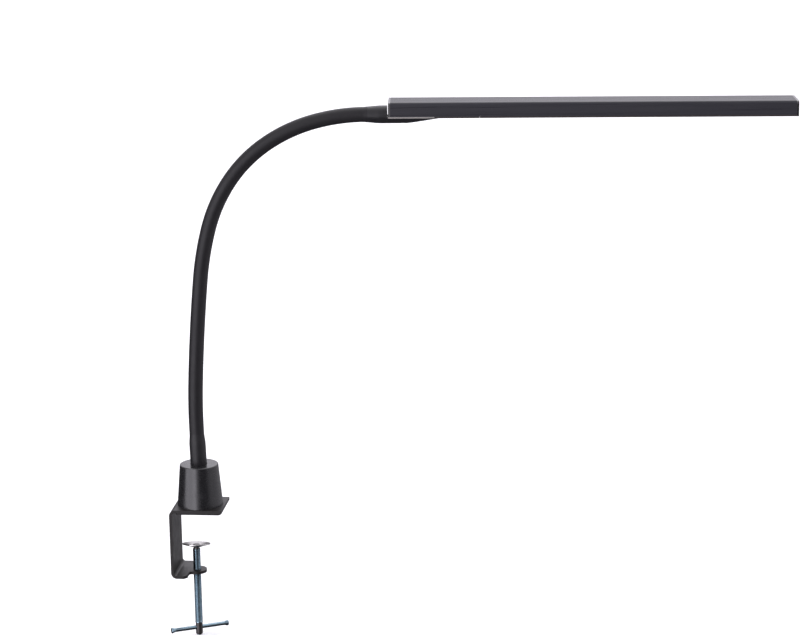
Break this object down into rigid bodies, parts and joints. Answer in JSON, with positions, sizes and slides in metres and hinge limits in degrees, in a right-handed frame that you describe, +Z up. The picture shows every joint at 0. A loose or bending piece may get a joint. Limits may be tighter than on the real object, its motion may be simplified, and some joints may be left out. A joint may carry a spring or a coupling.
{
  "type": "clip-on reading lamp",
  "caption": "Desk-edge reading lamp: screw clamp with hollow cone, bendable gooseneck and a long flat light bar with a dimmer button underneath.",
  "frame": {"origin": "centre of the clamp's desk-bearing face, the underside of the rubber pad, on the cone's axis", "axes": "+Z up, +X along the light bar away from the clamp, +Y away from the user, across the clamp strap"},
  "size_m": [0.6342, 0.0542, 0.5543],
  "materials": {
    "strap_black": "satin",
    "pad_rubber": "matte",
    "cone_black": "satin",
    "zinc_plate": "satin",
    "bright_steel": "satin",
    "inlet_black": "satin",
    "fitting_black": "satin",
    "neck_cover": "matte",
    "hose_steel": "satin",
    "lead_black": "satin",
    "socket_black": "satin",
    "bar_black": "satin",
    "cap_black": "satin",
    "cover_black": "satin",
    "mount_alloy": "satin",
    "diffuser_white": "satin",
    "board_white": "satin",
    "chip_phosphor": "satin",
    "circuit_green": "satin",
    "part_black": "satin",
    "button_grey": "satin"
  },
  "bodies": {
    "clamp": {"clamp_bracket": "strap_black", "table_pad": "pad_rubber", "base_cone": "cone_black", "cone_screws": "zinc_plate", "power_inlet": "inlet_black", "inlet_nut": "zinc_plate", "base_lead": "lead_black", "lower_ferrule": "fitting_black", "neck_washer": "zinc_plate", "neck_nut": "zinc_plate", "neck_hose_foot": "hose_steel", "neck_lead_foot": "lead_black"},
    "neck_link_1": {"neck_sleeve_1": "neck_cover", "neck_hose_1": "hose_steel", "neck_lead_1": "lead_black"},
    "neck_link_2": {"neck_sleeve_2": "neck_cover", "neck_hose_2": "hose_steel", "neck_lead_2": "lead_black"},
    "neck_link_3": {"neck_sleeve_3": "neck_cover", "neck_hose_3": "hose_steel", "neck_lead_3": "lead_black"},
    "neck_link_4": {"neck_sleeve_4": "neck_cover", "neck_hose_4": "hose_steel", "neck_lead_4": "lead_black"},
    "neck_link_5": {"neck_sleeve_5": "neck_cover", "neck_hose_5": "hose_steel", "neck_lead_5": "lead_black"},
    "neck_link_6": {"neck_sleeve_6": "neck_cover", "neck_hose_6": "hose_steel", "neck_lead_6": "lead_black"},
    "neck_link_7": {"neck_sleeve_7": "neck_cover", "neck_hose_7": "hose_steel", "neck_lead_7": "lead_black"},
    "neck_link_8": {"neck_sleeve_8": "neck_cover", "neck_hose_8": "hose_steel", "neck_lead_8": "lead_black"},
    "head": {"head_socket": "socket_black", "upper_ferrule": "hose_steel", "neck_lead_top": "lead_black", "grub_screw": "zinc_plate", "head_screws": "zinc_plate", "head_profile": "bar_black", "end_cap_left": "cap_black", "end_cap_right": "cap_black", "mount_plate": "mount_alloy", "switch_cover": "cover_black", "diffuser": "diffuser_white", "led_board": "board_white", "led_chips": "chip_phosphor", "driver_board": "circuit_green", "driver_parts": "part_black", "dimmer_switch": "part_black", "switch_board": "circuit_green"},
    "button": {"dimmer_button": "button_grey"},
    "rivet": {"foot_rivet": "bright_steel"},
    "foot": {"foot_disc": "bright_steel"},
    "spindle": {"clamp_spindle": "zinc_plate"},
    "tommy": {"tommy_bar": "zinc_plate"}
  },
  "joints": [
    {"name": "neck_bend_1", "type": "hinge", "parent": "clamp", "child": "neck_link_1", "pos_m": [-0.0012, 0, 0.08198], "axis": [0, 1, 0], "range_deg": [-25, 25]},
    {"name": "neck_sway_2", "type": "hinge", "parent": "neck_link_1", "child": "neck_link_2", "pos_m": [-0.00051, 0, 0.13467], "axis": [0.9986, 0, -0.0523], "range_deg": [-25, 25]},
    {"name": "neck_bend_3", "type": "hinge", "parent": "neck_link_2", "child": "neck_link_3", "pos_m": [0.00293, 0, 0.18725], "axis": [0, 1, 0], "range_deg": [-25, 25]},
    {"name": "neck_sway_4", "type": "hinge", "parent": "neck_link_3", "child": "neck_link_4", "pos_m": [0.00775, 0, 0.23973], "axis": [0.9945, 0, -0.1045], "range_deg": [-25, 25]},
    {"name": "neck_bend_5", "type": "hinge", "parent": "neck_link_4", "child": "neck_link_5", "pos_m": [0.01757, 0, 0.29145], "axis": [0, 1, 0], "range_deg": [-25, 25]},
    {"name": "neck_sway_6", "type": "hinge", "parent": "neck_link_5", "child": "neck_link_6", "pos_m": [0.03974, 0, 0.33899], "axis": [0.8241, 0, -0.5664], "range_deg": [-25, 25]},
    {"name": "neck_bend_7", "type": "hinge", "parent": "neck_link_6", "child": "neck_link_7", "pos_m": [0.07695, 0, 0.37587], "axis": [0, 1, 0], "range_deg": [-25, 25]},
    {"name": "neck_sway_8", "type": "hinge", "parent": "neck_link_7", "child": "neck_link_8", "pos_m": [0.12469, 0, 0.39763], "axis": [0.2588, 0, -0.9659], "range_deg": [-25, 25]},
    {"name": "neck_bend_9", "type": "hinge", "parent": "neck_link_8", "child": "head", "pos_m": [0.1768, 0, 0.4043], "axis": [0, 1, 0], "range_deg": [-25, 25]},
    {"name": "dimmer_press", "type": "slide", "parent": "head", "child": "button", "axis": [0.007, 0, 1], "range_m": [0, 0.0008], "stiffness_N_per_m": 300, "springref_m": -0.0006},
    {"name": "foot_feed", "type": "slide", "parent": "clamp", "child": "rivet", "axis": [0, 0, 1], "range_m": [-0.021, 0.032]},
    {"name": "spindle_turn", "type": "hinge", "parent": "rivet", "child": "spindle", "pos_m": [-0.00568, 0.00047, -0.08], "axis": [0, 0, 1], "range_deg": [-6120, 9360]},
    {"name": "foot_tilt", "type": "hinge", "parent": "rivet", "child": "foot", "pos_m": [-0.00568, 0.00047, -0.0407], "axis": [0.9966, -0.0819, 0], "range_deg": [-2, 22]},
    {"name": "tommy_slide", "type": "slide", "parent": "spindle", "child": "tommy", "axis": [0.9252, 0.3795, 0], "range_m": [-0.0233, 0.0215]}
  ],
  "couplings": [
    {"joint": "spindle_turn", "follows": "foot_feed", "rad_per_m": 5026.5}
  ]
}
